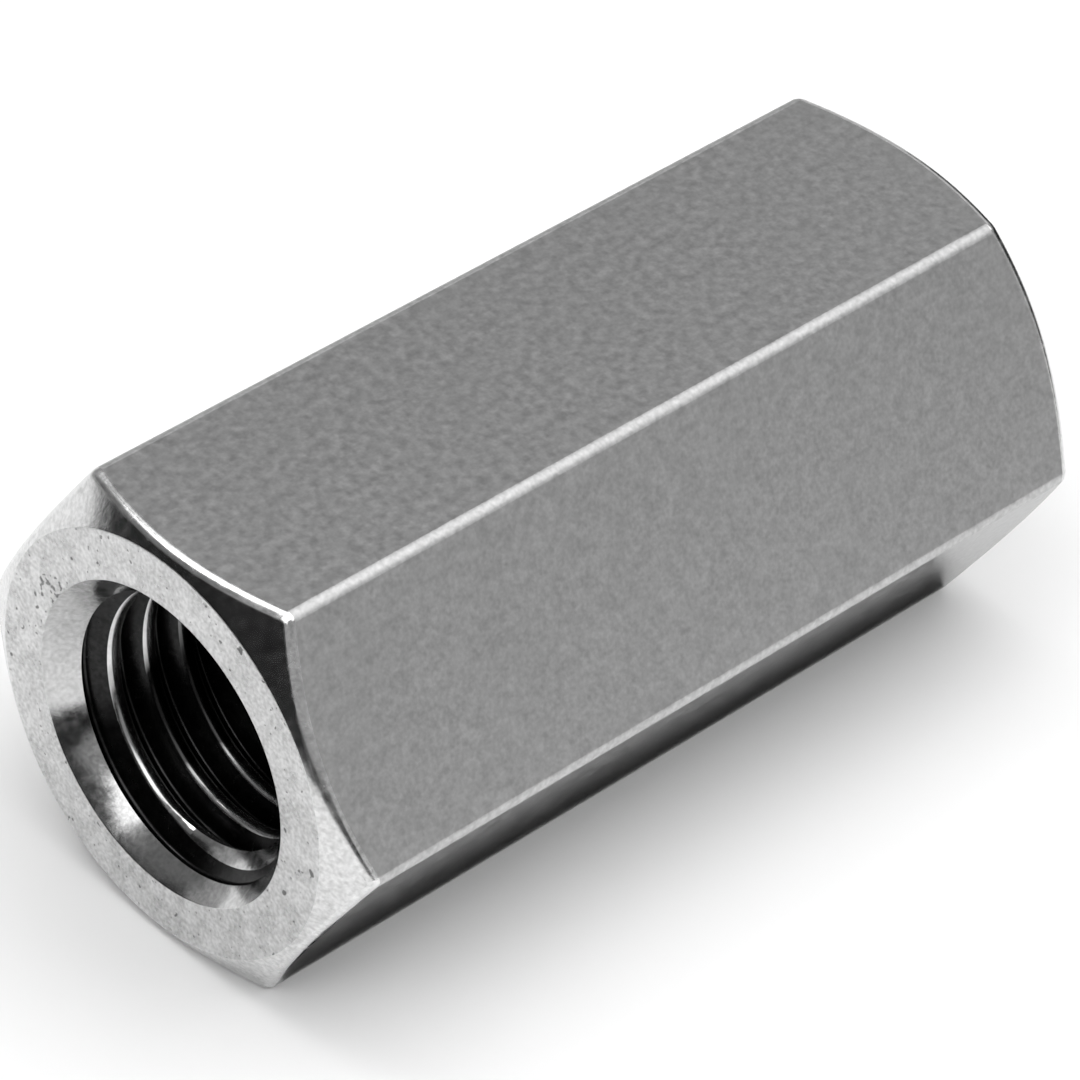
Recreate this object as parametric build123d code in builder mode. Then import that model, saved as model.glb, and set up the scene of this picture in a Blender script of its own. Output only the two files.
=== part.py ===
from build123d import *
from math import radians, sqrt, tan
import os

os.makedirs("parts", exist_ok=True)

# A long hexagonal nut that joins two threaded rods end to end, in millimetres.
# It lies on one of its six flats, with its bore along X, the middle of its
# length at X = 0 and the flat that it lies on at Z = 0.

# Hexagonal bar
across_flats = 21.0
length = 44.0
long_edge_radius = 0.55

# Thread, which the bore is drilled for: the bore is the thread's minor diameter
thread_diameter = 14.0
thread_pitch = 2.0
minor_diameter_factor = 5 / 8 * sqrt(3)
bore_diameter = thread_diameter - minor_diameter_factor * thread_pitch

# Countersink that leads a rod into each end
countersink_diameter = 15.2
countersink_angle = 75.0

# Turned chamfer that leaves a round, flat face on each end of the hexagon
end_face_diameter = 19.9
chamfer_angle = 30.0
rim_radius = 0.55

# The chamfer's cone runs out past the corners of the hexagon
corner_distance = across_flats / sqrt(3)
cone_height = (corner_distance - end_face_diameter / 2) * tan(radians(chamfer_angle))

nut_axis = Axis((0, 0, across_flats / 2), (1, 0, 0))
section_plane = Plane(origin=(0, 0, across_flats / 2), x_dir=(0, 1, 0), z_dir=(1, 0, 0))
profile_plane = Plane(origin=(0, 0, across_flats / 2), x_dir=(1, 0, 0), z_dir=(0, -1, 0))

with BuildPart() as coupling_nut:
    # Hexagonal bar with its long edges slightly rounded, as drawn bar has
    with BuildSketch(section_plane) as bar_section:
        RegularPolygon(radius=across_flats / 2, side_count=6, major_radius=False)
        fillet(bar_section.vertices(), radius=long_edge_radius)
    extrude(amount=length / 2, both=True)

    # Both ends turned down to a cone, which meets the flats in curved edges
    with BuildSketch(profile_plane):
        with BuildLine():
            Polyline(
                (-length / 2, 0),
                (-length / 2, end_face_diameter / 2),
                (-length / 2 + cone_height, corner_distance),
                (length / 2 - cone_height, corner_distance),
                (length / 2, end_face_diameter / 2),
                (length / 2, 0),
                close=True,
            )
        make_face()
    revolve(axis=nut_axis, mode=Mode.INTERSECT)

    # The curved edges between cones and flats are rolled over
    rims = faces().filter_by(GeomType.CONE).edges().filter_by(GeomType.CIRCLE, reverse=True)
    fillet(rims, radius=rim_radius)

    # Bore, countersunk from both ends
    with Locations(*faces().filter_by(Axis.X)):
        CounterSinkHole(
            radius=bore_diameter / 2,
            counter_sink_radius=countersink_diameter / 2,
            counter_sink_angle=countersink_angle,
        )

coupling_nut.part.label = "coupling_nut"
export_step(coupling_nut.part, "parts/coupling_nut.step")
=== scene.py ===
from math import cos, hypot, pi, radians, sin, sqrt, tan

import bmesh
import bpy
from mathutils import Matrix, Vector


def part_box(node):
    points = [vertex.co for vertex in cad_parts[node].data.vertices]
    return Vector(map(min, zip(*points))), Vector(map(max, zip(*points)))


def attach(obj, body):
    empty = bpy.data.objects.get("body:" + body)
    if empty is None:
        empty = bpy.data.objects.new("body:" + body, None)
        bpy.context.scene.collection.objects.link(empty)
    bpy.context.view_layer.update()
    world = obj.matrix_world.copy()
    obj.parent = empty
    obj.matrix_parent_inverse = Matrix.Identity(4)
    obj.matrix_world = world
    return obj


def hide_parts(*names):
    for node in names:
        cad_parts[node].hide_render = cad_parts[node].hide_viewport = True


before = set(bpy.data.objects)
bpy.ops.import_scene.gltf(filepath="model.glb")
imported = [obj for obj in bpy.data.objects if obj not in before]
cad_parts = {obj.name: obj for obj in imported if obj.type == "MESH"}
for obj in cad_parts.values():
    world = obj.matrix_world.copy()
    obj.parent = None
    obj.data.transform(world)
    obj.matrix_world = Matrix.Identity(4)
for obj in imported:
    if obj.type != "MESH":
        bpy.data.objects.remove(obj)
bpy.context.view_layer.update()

# Sizes of the nut, in metres. Its length and its width across flats come from the frame.
MM = 0.001
nut_low, nut_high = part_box("coupling_nut")
length = nut_high.x - nut_low.x
half_length = length / 2
across_flats = nut_high.z - nut_low.z
axis_height = nut_low.z + across_flats / 2
corner_distance = across_flats / sqrt(3)

# Rounded edges. The metal turns by twice this angle from one flat to the next, and
# from a flat to a turned cone.
edge_half_turn = radians(30)
long_edge_radius = 0.55 * MM
long_edge_segments = 6
rim_radius = 0.55 * MM
rim_segments = 5
corner_segments = 3
smoothing_angle = radians(35)

# Turned ends
end_face_radius = 9.95 * MM
end_face_edge_radius = 0.28 * MM
chamfer_angle = radians(30)
cone_height = (corner_distance - end_face_radius) * tan(chamfer_angle)
turning_steps = 288

# How far the normals of the bar, the cones and the end faces lean along the axis
bar_lean = 0.1
cone_lean_low, cone_lean_high = 0.8, 0.95
end_face_lean = 0.999

# Countersinks, which reach in past the bore's wall until the tap opens it
mouth_radius = 7.6 * MM
mouth_edge_radius = 0.15 * MM
countersink_slope = radians(37.5)
pilot_step = 0.5 * MM

# Thread: sharp triangles of 60 degrees, cut off to a crest and a root
thread_radius = 7.0 * MM
thread_pitch = 2.0 * MM
bore_radius = thread_radius - 5 / 16 * sqrt(3) * thread_pitch
crest_flat = thread_pitch / 4
root_flat = thread_pitch / 8
crest_corner = 0.20 * MM
root_corner = 0.11 * MM
crest_share = 0.8
thread_turns = 26
steps_each_turn = 96
thread_start = radians(-46)

# Modelling: points this close are one point, or the point that is looked for
weld_distance = 0.002 * MM
same_place = 0.001 * MM

# Finishes: most of a noise's values lie between these two, and its grains are this big
noise_low, noise_high = 0.3, 0.7
plate_grain, plate_mottle = 0.22 * MM, 0.50 * MM
face_grain, face_mottle = 0.20 * MM, 0.80 * MM
nick_size, scratch_size = 0.55 * MM, 0.26 * MM

# Turned face: the noise's range there, how dark a nick and a scratch are and the noise
# at which they begin and are full, and the worn place with more scratches than elsewhere
face_noise_low, face_noise_high = 0.35, 0.65
nick_shade, nick_begins, nick_full = 0.30, 0.71, 0.75
scratch_shade, scratch_begins, scratch_full = 0.35, 0.71, 0.77
worn_place = Vector((-half_length, 7.0 * MM, axis_height + 4.1 * MM))
worn_noise, worn_core, worn_reach = 0.16, 0.5 * MM, 1.6 * MM

# Thread's crests: painted shade, partly thin plating, darkens them from the first depth to
# nearly black at the second. On two sides of the bore, upper and lower, painted glints keep
# them bright deeper. Directions go round the axis from -Y up to +Z.
shade_begins_depth, shade_full_depth = 1.4 * MM, 4.2 * MM
brightness_left_in_shade = 0.04
upper_glint_side, upper_glint_bright_to, upper_glint_dark_from = radians(165), 4.2 * MM, 7.0 * MM
lower_glint_side, lower_glint_bright_to, lower_glint_dark_from = radians(278), 6.0 * MM, 11.0 * MM
glint_side_begins, glint_side_full = 4.8 * MM, 5.6 * MM

# Camera, from the photograph's edges
camera_aim = Vector((0.1986, 0.1845, 9.7498)) * MM
camera_distance = 293.0 * MM
camera_azimuth = radians(-46.6543)
camera_elevation = radians(40.1725)
camera_roll = radians(4.9603)
camera_lens = 223.75
camera_sensor = 36
camera_nearest, camera_farthest = 0.01, 10

# Lights. The softbox hangs over the nut, the end light faces the near end, the small
# thread light puts glints on the thread and the back panel lifts the far half of the top flat.
softbox_place = Vector((0.15, -0.17, 0.55))
softbox_turn = radians(139)
softbox_size = (1.00, 0.77)
softbox_power = 4.3
end_light_place = Vector((-0.46, -0.17, 0.50))
end_light_size = (0.46, 0.30)
end_light_power = 0.70
thread_light_place = Vector((-0.13, 0.25, 0.41))
thread_light_size = (0.12, 0.12)
thread_light_power = 0.25
back_panel_place = Vector((0.94, 0.53, 0.50))
back_panel_size = (0.44, 0.44)
back_panel_power = 0.20

# Room and floor. The room's grey goes from the horizon's to the zenith's over this rise.
horizon_grey = 0.46
zenith_grey = 0.26
zenith_rise = 0.7
floor_size = 6
floor_grey = 0.86
floor_grey_seen = 0.95

# Folding cards round the near end and behind the far end, which show only in the
# metal's reflections: the places of their folds, and their lower and upper edge there
near_folds = (
    (Vector((-26.5, -66)) * MM, 0, 22 * MM),
    (Vector((-66, -66)) * MM, 0, 20 * MM),
    (Vector((-66, -26)) * MM, 0, 20 * MM),
    (Vector((-66, -16)) * MM, 0, 42 * MM),
    (Vector((-66, 70)) * MM, 0, 42 * MM),
)
upper_folds = (
    (Vector((-66, 17)) * MM, 40 * MM, 100 * MM),
    (Vector((-66, 122)) * MM, 40 * MM, 100 * MM),
)
far_folds = (
    (Vector((78, -42)) * MM, 0, 34 * MM),
    (Vector((78, 34)) * MM, 0, 34 * MM),
)
# A strip of dark card under the low edge that faces the camera is painted shadow: it stands
# in for the nut's contact shadow on the floor, and shows only in reflections
strip_low = Vector((-20, -10.2, 0.2)) * MM
strip_high = Vector((20.5, -6.3, 0.2)) * MM
dark_card_grey = 0.02
grey_card_grey = 0.20

# The finishes' places among the nut's materials, in the order of make_finishes
FLATS, ROLLED, RIMS, FACE, CHAMFER, SINK, FLANKS, SHADED_CRESTS = range(8)


def add_camera():
    """Stands the camera off from its aim point, by azimuth and elevation, and rolls it."""
    back = Vector(
        (
            sin(camera_azimuth) * cos(camera_elevation),
            -cos(camera_azimuth) * cos(camera_elevation),
            sin(camera_elevation),
        )
    )
    level = back.to_track_quat("Z", "Y").to_matrix().to_4x4()
    place = Matrix.Translation(camera_aim + back * camera_distance)
    bpy.ops.object.camera_add()
    camera = bpy.context.object
    camera.matrix_world = place @ level @ Matrix.Rotation(camera_roll, 4, "Z")
    camera.data.lens = camera_lens
    camera.data.sensor_width = camera_sensor
    camera.data.clip_start = camera_nearest
    camera.data.clip_end = camera_farthest
    bpy.context.scene.camera = camera


def clear_selection():
    """Deselects every object, because the frame's own nodes start selected."""
    bpy.ops.object.select_all(action="DESELECT")


def select_only(piece):
    clear_selection()
    piece.select_set(True)
    bpy.context.view_layer.objects.active = piece


def select_in_edit(piece, kind, test):
    """Enters edit mode with only those points, edges or faces selected that pass the test."""
    select_only(piece)
    bpy.ops.object.mode_set(mode="EDIT")
    bpy.ops.mesh.select_mode(type=kind)
    bpy.ops.mesh.select_all(action="DESELECT")
    shape = bmesh.from_edit_mesh(piece.data)
    shape.normal_update()
    for item in {"VERT": shape.verts, "EDGE": shape.edges, "FACE": shape.faces}[kind]:
        item.select = test(item)
    shape.select_flush_mode()
    bmesh.update_edit_mesh(piece.data)


def leave_edit():
    bpy.ops.object.mode_set(mode="OBJECT")


def settle(piece):
    """Puts the piece's place into its mesh."""
    select_only(piece)
    bpy.ops.object.transform_apply(location=True, rotation=True, scale=True)


def paint(piece, index, test):
    """Gives the faces that pass the test the finish with that index."""
    select_in_edit(piece, "FACE", test)
    piece.active_material_index = index
    bpy.ops.object.material_slot_assign()
    leave_edit()


def off_axis(place):
    """How far a place is from the nut's axis."""
    return hypot(place.y, place.z - axis_height)


def weld(piece):
    """Merges doubled points and turns every face outwards."""
    select_only(piece)
    bpy.ops.object.mode_set(mode="EDIT")
    bpy.ops.mesh.select_all(action="SELECT")
    bpy.ops.mesh.remove_doubles(threshold=weld_distance)
    bpy.ops.mesh.normals_make_consistent(inside=False)
    leave_edit()


def outline_piece(name, corners):
    """An open outline on the nut's axis. Each corner is its place along the axis, its
    distance from the axis and the width by which it is rounded."""
    clear_selection()
    bpy.ops.mesh.primitive_plane_add(size=length, location=(0, 0, axis_height))
    piece = bpy.context.object
    piece.name = name
    shape = bmesh.new()
    points = [shape.verts.new((along, 0, radius)) for along, radius, width in corners]
    for a, b in zip(points, points[1:]):
        shape.edges.new((a, b))
    shape.to_mesh(piece.data)
    shape.free()
    for width in sorted({width for along, radius, width in corners if width}):
        places = [Vector((along, 0, radius)) for along, radius, own in corners if own == width]

        def at_a_place(point):
            return any((point.co - place).length < same_place for place in places)

        select_in_edit(piece, "VERT", at_a_place)
        bpy.ops.mesh.bevel(offset=width, segments=corner_segments, affect="VERTICES")
        leave_edit()
    return piece


def combine(piece, tool, operation):
    """Cuts piece with tool, or keeps what both hold, and removes the tool."""
    select_only(piece)
    cut = piece.modifiers.new("cut", "BOOLEAN")
    cut.operation = operation
    cut.solver = "EXACT"
    cut.material_mode = "TRANSFER"
    cut.object = tool
    bpy.ops.object.modifier_apply(modifier=cut.name)
    bpy.data.objects.remove(tool)


def take_finishes(piece):
    for finish in finishes:
        piece.data.materials.append(finish)


def hexagonal_bar():
    """The drawn bar, with its six long edges slightly rounded."""

    def along_bar(edge):
        a, b = edge.verts
        return abs(a.co.x - b.co.x) > half_length

    clear_selection()
    bpy.ops.mesh.primitive_cylinder_add(
        vertices=6,
        radius=corner_distance,
        depth=length,
        location=(0, 0, axis_height),
        rotation=(0, pi / 2, 0),
    )
    bar = bpy.context.object
    bar.name = "coupling_nut_body"
    settle(bar)
    take_finishes(bar)
    select_in_edit(bar, "EDGE", along_bar)
    bpy.ops.mesh.bevel(
        offset=long_edge_radius * tan(edge_half_turn),
        segments=long_edge_segments,
        affect="EDGES",
        material=ROLLED,
    )
    leave_edit()
    return bar


def turned_body():
    """What the lathe and the countersink leave, as one outline spun round the axis."""
    pilot_radius = bore_radius - pilot_step
    pilot_place = half_length - (mouth_radius - pilot_radius) / tan(countersink_slope)
    mouth_edge_width = mouth_edge_radius * tan(countersink_slope / 2)
    end_face_edge_width = end_face_edge_radius * tan(chamfer_angle / 2)
    right = [
        (pilot_place, 0, 0),
        (pilot_place, pilot_radius, 0),
        (half_length, mouth_radius, mouth_edge_width),
        (half_length, end_face_radius, end_face_edge_width),
        (half_length - cone_height, corner_distance, 0),
    ]
    left = [(-along, radius, width) for along, radius, width in reversed(right)]
    body = outline_piece("turned_body", right + left)
    settle(body)
    bpy.ops.object.mode_set(mode="EDIT")
    bpy.ops.mesh.select_all(action="SELECT")
    bpy.ops.mesh.spin(
        steps=turning_steps,
        angle=2 * pi,
        center=(0, 0, axis_height),
        axis=(1, 0, 0),
        use_auto_merge=True,
    )
    leave_edit()
    weld(body)
    # Turned by a third of a step, so that none of its seams runs along a corner of the bar
    centre = Matrix.Translation((0, 0, axis_height))
    third_of_a_step = Matrix.Rotation(2 * pi / turning_steps / 3, 4, "X")
    body.data.transform(centre @ third_of_a_step @ centre.inverted())
    take_finishes(body)
    paint(body, FACE, lambda face: True)
    paint(body, CHAMFER, lambda face: off_axis(face.calc_center_median()) > end_face_radius)
    paint(body, SINK, lambda face: off_axis(face.calc_center_median()) < mouth_radius)
    return body


def roll_rims(piece):
    """Rounds the curved edges where the cones meet the bar."""

    def between_cone_and_bar(edge):
        leans = sorted(abs(face.normal.x) for face in edge.link_faces)
        return len(leans) == 2 and leans[0] < bar_lean and cone_lean_low < leans[1] < cone_lean_high

    select_in_edit(piece, "EDGE", between_cone_and_bar)
    bpy.ops.mesh.bevel(
        offset=rim_radius * tan(edge_half_turn),
        segments=rim_segments,
        affect="EDGES",
        clamp_overlap=False,
        material=RIMS,
    )
    leave_edit()


def tap():
    """A tap as long as the nut and more: one pitch of its outline, wound along the axis."""
    half = thread_pitch / 2
    rising = [
        (-half, bore_radius, 0),
        (crest_flat / 2 - half, bore_radius, crest_corner),
        (-root_flat / 2, thread_radius, root_corner),
    ]
    falling = [(-along, radius, width) for along, radius, width in reversed(rising)]
    tool = outline_piece("tap", rising + falling)
    winding = tool.modifiers.new("winding", "SCREW")
    winding.axis = "X"
    winding.angle = 2 * pi
    winding.screw_offset = thread_pitch
    winding.iterations = thread_turns
    winding.steps = steps_each_turn
    winding.render_steps = steps_each_turn
    bpy.ops.object.modifier_apply(modifier=winding.name)
    weld(tool)

    # It starts and ends outside the nut, where both ragged ends are closed on the axis
    middle = thread_turns * thread_pitch / 2
    start = Matrix.Rotation(thread_start, 4, "X")
    tool.data.transform(start @ Matrix.Translation((-middle, 0, 0)))
    for side in (-1, 1):
        select_in_edit(
            tool, "EDGE", lambda edge: edge.is_boundary and edge.verts[0].co.x * side > 0
        )
        bpy.ops.mesh.extrude_edges_move()
        bpy.ops.mesh.merge(type="CENTER")
        leave_edit()
    settle(tool)
    weld(tool)
    take_finishes(tool)
    # The crests take the crest finish; flanks and roots further out take the near-black of painted
    # shade in the grooves
    crest_end = bore_radius + crest_corner * crest_share
    paint(tool, SHADED_CRESTS, lambda face: True)
    paint(tool, FLANKS, lambda face: off_axis(face.calc_center_median()) > crest_end)
    return tool


def smooth(piece):
    """Rounds shade as rounds and flats stay flat, with the larger faces setting the shading."""
    select_only(piece)
    bpy.ops.object.shade_smooth_by_angle(angle=smoothing_angle)
    weighting = piece.modifiers.new("weighting", "WEIGHTED_NORMAL")
    weighting.keep_sharp = True
    bpy.ops.object.modifier_apply(modifier=weighting.name)


class Nodes:
    """A short way to write the nodes of a material or of the world."""

    def __init__(self, owner):
        owner.use_nodes = True
        self.tree = owner.node_tree
        self.tree.nodes.clear()

    def add(self, kind, inputs=None, **settings):
        node = self.tree.nodes.new("ShaderNode" + kind)
        for key, value in settings.items():
            setattr(node, key, value)
        for key, value in (inputs or {}).items():
            if isinstance(value, bpy.types.NodeSocket):
                self.tree.links.new(value, node.inputs[key])
            else:
                node.inputs[key].default_value = value
        return node

    def noise(self, place, size, detail):
        """Noise whose grains are about that many metres across."""
        node = self.add("TexNoise", {"Vector": place, "Scale": 1 / size, "Detail": detail})
        return node.outputs["Fac"]

    def spread(self, value, low, high, from_low=noise_low, from_high=noise_high):
        """Low where the value is from_low, high where it is from_high, and even between."""
        node = self.add(
            "MapRange",
            {
                "Value": value,
                "From Min": from_low,
                "From Max": from_high,
                "To Min": low,
                "To Max": high,
            },
        )
        return node.outputs["Result"]

    def sum(self, *values):
        total = values[0]
        for value in values[1:]:
            total = self.add("Math", {0: total, 1: value}, operation="ADD").outputs[0]
        return total

    def times(self, value, factor):
        return self.add("Math", {0: value, 1: factor}, operation="MULTIPLY").outputs[0]

    def least(self, a, b):
        return self.add("Math", {0: a, 1: b}, operation="MINIMUM").outputs[0]

    def most(self, a, b):
        return self.add("Math", {0: a, 1: b}, operation="MAXIMUM").outputs[0]

    def grey(self, value):
        return self.add("CombineColor", dict.fromkeys(("Red", "Green", "Blue"), value)).outputs[0]


def metal(nodes, shade, roughness, height, depth):
    """Zinc plate with a grey level, a roughness and a relief of that depth."""
    bump = nodes.add("Bump", {"Height": height, "Strength": 1.0, "Distance": depth})
    shader = nodes.add(
        "BsdfPrincipled",
        {
            "Base Color": nodes.grey(shade),
            "Metallic": 1.0,
            "Roughness": roughness,
            "Normal": bump.outputs["Normal"],
        },
    )
    nodes.add("OutputMaterial", {"Surface": shader.outputs["BSDF"]})


def plated(material, low, high, rough_low, rough_high, depth):
    """Plain plating, with a fine grain and a soft mottle."""
    nodes = Nodes(material)
    place = nodes.add("TexCoord").outputs["Object"]
    grain = nodes.noise(place, plate_grain, 1)
    mottle = nodes.noise(place, plate_mottle, 2)
    both = nodes.times(nodes.sum(grain, grain, mottle), 1 / 3)
    shade = nodes.spread(both, low, high)
    roughness = nodes.spread(mottle, rough_low, rough_high)
    metal(nodes, shade, roughness, grain, depth)


def nicked(material, low, high, rough_low, rough_high, depth):
    """The turned face, speckled, with a few small dark nicks and one scratched place."""
    nodes = Nodes(material)
    place = nodes.add("TexCoord").outputs["Object"]
    grain = nodes.noise(place, face_grain, 2)
    mottle = nodes.noise(place, face_mottle, 2)
    both = nodes.times(nodes.sum(grain, mottle), 0.5)
    shade = nodes.spread(both, low, high, face_noise_low, face_noise_high)
    nick = nodes.noise(place, nick_size, 1)
    unnicked = nodes.spread(nick, 1.0, nick_shade, nick_begins, nick_full)
    away = nodes.add("VectorMath", {0: place, 1: worn_place}, operation="DISTANCE").outputs["Value"]
    worn = nodes.spread(away, worn_noise, 0.0, worn_core, worn_reach)
    scratch = nodes.sum(nodes.noise(place, scratch_size, 1), worn)
    unscratched = nodes.spread(scratch, 1.0, scratch_shade, scratch_begins, scratch_full)
    clean = nodes.least(unnicked, unscratched)
    roughness = nodes.spread(mottle, rough_low, rough_high)
    metal(nodes, nodes.times(shade, clean), roughness, grain, depth)


def shaded_crests(material, low, high, rough_low, rough_high, depth):
    """The thread's crests. Painted shade, partly thin plating, darkens them away from the ends
    of the bore, and painted glints keep them bright deeper on two sides of it."""
    nodes = Nodes(material)
    place = nodes.add("TexCoord").outputs["Object"]
    grain = nodes.noise(place, plate_grain, 1)
    shade = nodes.spread(grain, low, high)
    parts = nodes.add("SeparateXYZ", {"Vector": place}).outputs
    from_middle = nodes.add("Math", {0: parts["X"]}, operation="ABSOLUTE").outputs[0]

    def fading_with_depth(left, bright_to_depth, dark_from_depth):
        """Full brightness down to one depth, coming down to what is left at another."""
        return nodes.spread(from_middle, left, 1.0, half_length - dark_from_depth, half_length - bright_to_depth)

    def on_side(direction):
        """One on the side of the bore in that direction, and nought on the rest."""
        towards = nodes.sum(
            nodes.times(parts["Y"], -cos(direction)), nodes.times(parts["Z"], sin(direction))
        )
        middle = axis_height * sin(direction)
        return nodes.spread(towards, 0.0, 1.0, middle + glint_side_begins, middle + glint_side_full)

    # Painted glints on two sides; painted shade, partly thin plating, everywhere else
    upper = nodes.times(fading_with_depth(0.0, upper_glint_bright_to, upper_glint_dark_from), on_side(upper_glint_side))
    lower = nodes.times(fading_with_depth(0.0, lower_glint_bright_to, lower_glint_dark_from), on_side(lower_glint_side))
    painted_shade_and_glints = nodes.most(
        fading_with_depth(brightness_left_in_shade, shade_begins_depth, shade_full_depth), nodes.most(upper, lower)
    )
    roughness = nodes.spread(grain, rough_low, rough_high)
    metal(nodes, nodes.times(shade, painted_shade_and_glints), roughness, grain, depth)


def make_finishes():
    """Each finish has a name, the way that it is laid on, its darkest and lightest grey,
    its lowest and highest roughness and the depth of its relief."""
    looks = (
        ("drawn_flats", plated, 0.43, 0.55, 0.28, 0.36, 0.001 * MM),
        ("rolled_edges", plated, 0.46, 0.64, 0.45, 0.55, 0.001 * MM),
        # Rims lighter than the long rolled edges of the same plating: painted highlight
        ("rolled_rims", plated, 0.60, 0.84, 0.18, 0.28, 0.002 * MM),
        ("turned_face", nicked, 0.44, 0.72, 0.26, 0.36, 0.002 * MM),
        ("turned_chamfer", plated, 0.52, 0.80, 0.15, 0.23, 0.003 * MM),
        ("countersink", plated, 0.46, 0.68, 0.13, 0.21, 0.002 * MM),
        # Flanks and roots near-black: painted shade in the thread's grooves
        ("thread_flanks_painted_shade", plated, 0.02, 0.04, 0.22, 0.28, 0.001 * MM),
        # Thread crests, darkened by painted shade and brightened by painted glints
        ("thread_crests_painted_shade_and_glints", shaded_crests, 0.70, 0.82, 0.18, 0.24, 0.0005 * MM),
    )
    made = []
    for name, lay_on, *look in looks:
        material = bpy.data.materials.new(name)
        lay_on(material, *look)
        made.append(material)
    return made


def add_floor():
    clear_selection()
    bpy.ops.mesh.primitive_plane_add(size=floor_size)
    floor = bpy.context.object
    floor.name = "floor"
    material = bpy.data.materials.new("pale_floor")
    nodes = Nodes(material)
    path = nodes.add("LightPath").outputs
    seen = nodes.sum(path["Is Camera Ray"], path["Is Glossy Ray"], path["Is Transmission Ray"])
    shade = nodes.spread(seen, floor_grey, floor_grey_seen, 0, 1)
    paper = nodes.add("BsdfDiffuse", {"Color": nodes.grey(shade)})
    nodes.add("OutputMaterial", {"Surface": paper.outputs["BSDF"]})
    floor.data.materials.append(material)


def add_card(name, grey, *runs):
    """A card of one or more runs of upright panels."""
    clear_selection()
    bpy.ops.mesh.primitive_plane_add(size=1)
    card = bpy.context.object
    card.name = name
    shape = bmesh.new()
    for folds in runs:
        foot = [shape.verts.new((*place, low)) for place, low, high in folds]
        top = [shape.verts.new((*place, high)) for place, low, high in folds]
        for k in range(len(folds) - 1):
            shape.faces.new((foot[k], foot[k + 1], top[k + 1], top[k]))
    shape.to_mesh(card.data)
    shape.free()
    finish_card(card, grey)


# Painted shadow: the dark strip stands in for the nut's contact shadow in the under-flat's
# reflection
def add_shadow_strip():
    clear_selection()
    bpy.ops.mesh.primitive_plane_add(size=1, location=(strip_low + strip_high) / 2)
    strip = bpy.context.object
    strip.name = "contact_shadow_strip"
    strip.scale = (strip_high.x - strip_low.x, strip_high.y - strip_low.y, 1)
    settle(strip)
    finish_card(strip, dark_card_grey)


def finish_card(card, grey):
    """Gives a card its felt, and lets only reflections show it."""
    material = bpy.data.materials.new(card.name)
    nodes = Nodes(material)
    felt = nodes.add("BsdfDiffuse", {"Color": (grey,) * 3 + (1,)})
    nodes.add("OutputMaterial", {"Surface": felt.outputs["BSDF"]})
    card.data.materials.append(material)
    card.visible_camera = False
    card.visible_diffuse = False
    card.visible_shadow = False


def add_area_light(name, place, turn, size, power):
    bpy.ops.object.light_add(type="AREA", location=place, rotation=turn)
    light = bpy.context.object
    light.name = name
    light.data.shape = "RECTANGLE"
    light.data.size, light.data.size_y = size
    light.data.energy = power


def facing_nut(place):
    """The turn that makes a light at that place shine on the nut."""
    return place.to_track_quat("Z", "Y").to_euler()


def add_lights():
    """The softbox points straight down, and the other three lamps point at the nut."""
    add_area_light("softbox", softbox_place, (0, 0, softbox_turn), softbox_size, softbox_power)
    for name, place, size, power in (
        ("end_light", end_light_place, end_light_size, end_light_power),
        ("thread_light", thread_light_place, thread_light_size, thread_light_power),
        ("back_panel", back_panel_place, back_panel_size, back_panel_power),
    ):
        add_area_light(name, place, facing_nut(place), size, power)
    world = bpy.data.worlds.new("studio")
    bpy.context.scene.world = world
    nodes = Nodes(world)
    way = nodes.add("TexCoord").outputs["Generated"]
    rise = nodes.add("SeparateXYZ", {"Vector": way}).outputs["Z"]
    shade = nodes.spread(rise, horizon_grey, zenith_grey, 0, zenith_rise)
    air = nodes.add("Background", {"Color": nodes.grey(shade), "Strength": 1.0})
    nodes.add("OutputWorld", {"Surface": air.outputs["Background"]})


add_camera()
finishes = make_finishes()
nut = hexagonal_bar()
combine(nut, turned_body(), "INTERSECT")
paint(nut, FACE, lambda face: abs(face.normal.x) > end_face_lean)
roll_rims(nut)
combine(nut, tap(), "DIFFERENCE")
smooth(nut)
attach(nut, "root")
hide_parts("coupling_nut")

add_floor()
add_card("dark_card", dark_card_grey, near_folds, far_folds)
add_card("grey_card", grey_card_grey, upper_folds)
add_shadow_strip()
add_lights()
bpy.context.scene.view_settings.view_transform = "Standard"
